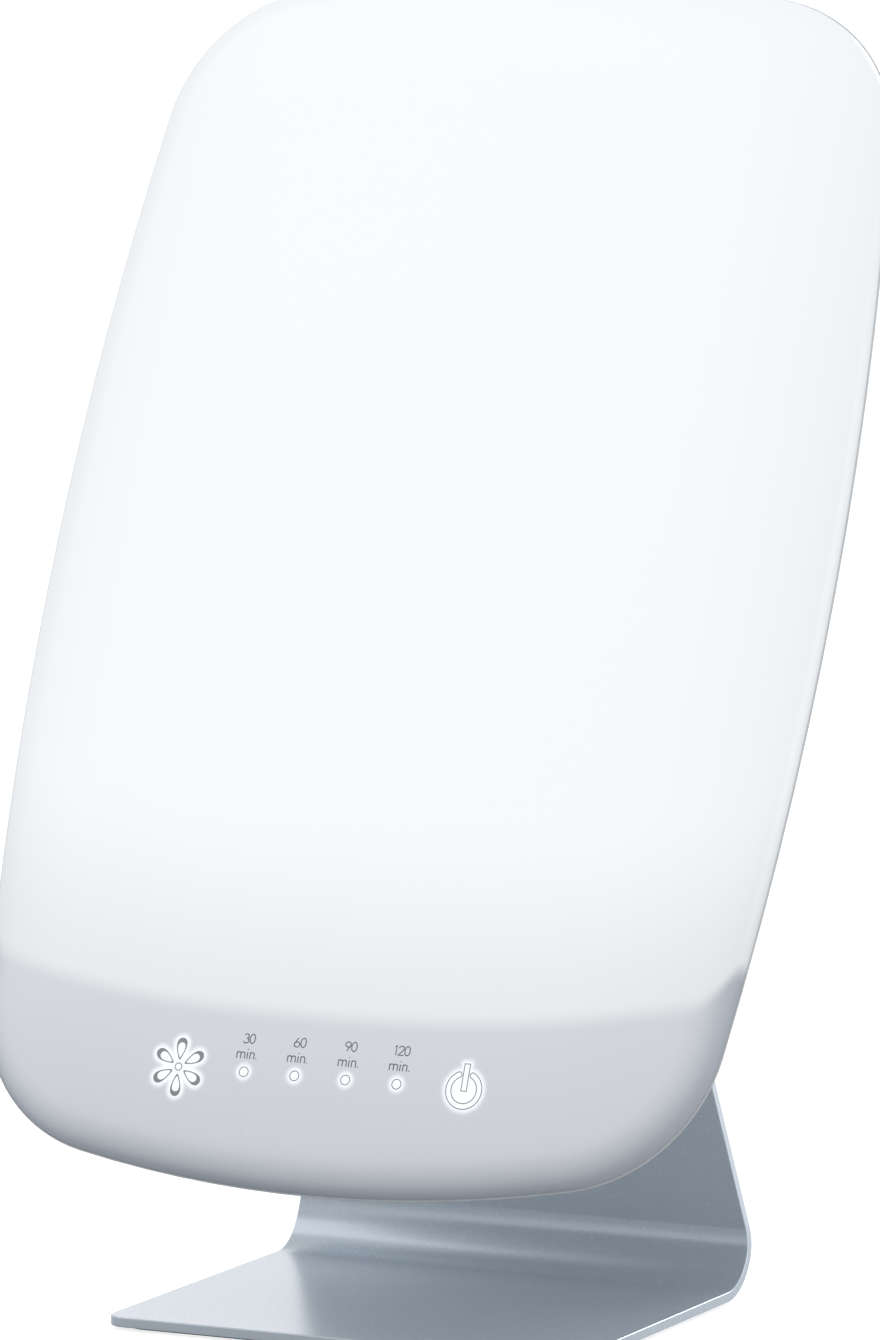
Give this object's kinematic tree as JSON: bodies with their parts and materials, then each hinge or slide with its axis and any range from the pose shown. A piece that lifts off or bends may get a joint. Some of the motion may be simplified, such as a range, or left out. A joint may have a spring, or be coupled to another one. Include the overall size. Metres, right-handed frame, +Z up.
{
  "type": "light therapy lamp",
  "caption": "Light therapy lamp: tall pillow-shaped opal light panel with touch controls in its lower strip, tilting on a hinge behind it, on a bent sheet-metal stand.",
  "frame": {"origin": "centre of the underside of the foot mat, on the table", "axes": "+Z up, -Y towards the user (the way the lamp shines), +X to the right as the user sees the lamp"},
  "size_m": [0.34, 0.2365, 0.5277],
  "materials": {
    "stand_metal": "fine bead-blasted, clear anodised",
    "mat_rubber": "matt",
    "cast_metal": "fine texture powder coat, silver grey",
    "bush_plastic": "self-lubricating plastic",
    "screw_steel": "zinc plated",
    "shell_opal": "opal, polished outside",
    "housing_white": "fine spark-eroded texture",
    "chassis_metal": "mill finish",
    "tray_white": "white, diffusely reflecting",
    "diffuser_opal": "opal acrylic sheet",
    "strip_white": "white solder mask",
    "led_lens": "clear resin over phosphor",
    "wire_jacket": "white insulation",
    "board_laminate": "green solder mask",
    "pad_foam": "conductive foam",
    "ferrite_black": "coated ferrite",
    "capacitor_can": "sleeved can",
    "jack_black": "moulded",
    "nut_metal": "nickel plated",
    "plug_plastic": "natural nylon",
    "hinge_steel": "zinc plated",
    "friction_disc": "friction material",
    "cap_grey": "fine texture"
  },
  "bodies": {
    "stand": {"stand_sheet": "stand_metal", "foot_mat": "mat_rubber", "hinge_knuckle": "cast_metal", "hinge_bushes": "bush_plastic", "knuckle_screws": "screw_steel"},
    "head": {"bracket_screws": "screw_steel", "chassis_plate": "chassis_metal", "control_board": "board_laminate", "control_board_screws": "screw_steel", "control_lead": "wire_jacket", "dc_jack": "jack_black", "diffuser_sheet": "diffuser_opal", "driver_board": "board_laminate", "driver_board_screws": "screw_steel", "driver_capacitors": "capacitor_can", "driver_inductors": "ferrite_black", "friction_washers": "friction_disc", "front_shell": "shell_opal", "hinge_bracket": "hinge_steel", "hinge_caps": "cap_grey", "hinge_nut": "nut_metal", "hinge_shaft": "hinge_steel", "housing_screws": "screw_steel", "indicator_leds": "led_lens", "jack_nut": "nut_metal", "lead_plugs": "plug_plastic", "led_jumpers": "wire_jacket", "led_lead": "wire_jacket", "led_packages": "led_lens", "led_strips": "strip_white", "light_guide_block": "tray_white", "power_lead": "wire_jacket", "rear_housing": "housing_white", "reflector_tray": "tray_white", "spring_washers": "hinge_steel", "touch_pads": "pad_foam", "tray_screws": "screw_steel"}
  },
  "joints": [
    {"name": "head_tilt", "type": "hinge", "parent": "stand", "child": "head", "pos_m": [0, 0.0593, 0.26483], "axis": [-1, 0, 0], "range_deg": [-20, 10]}
  ]
}
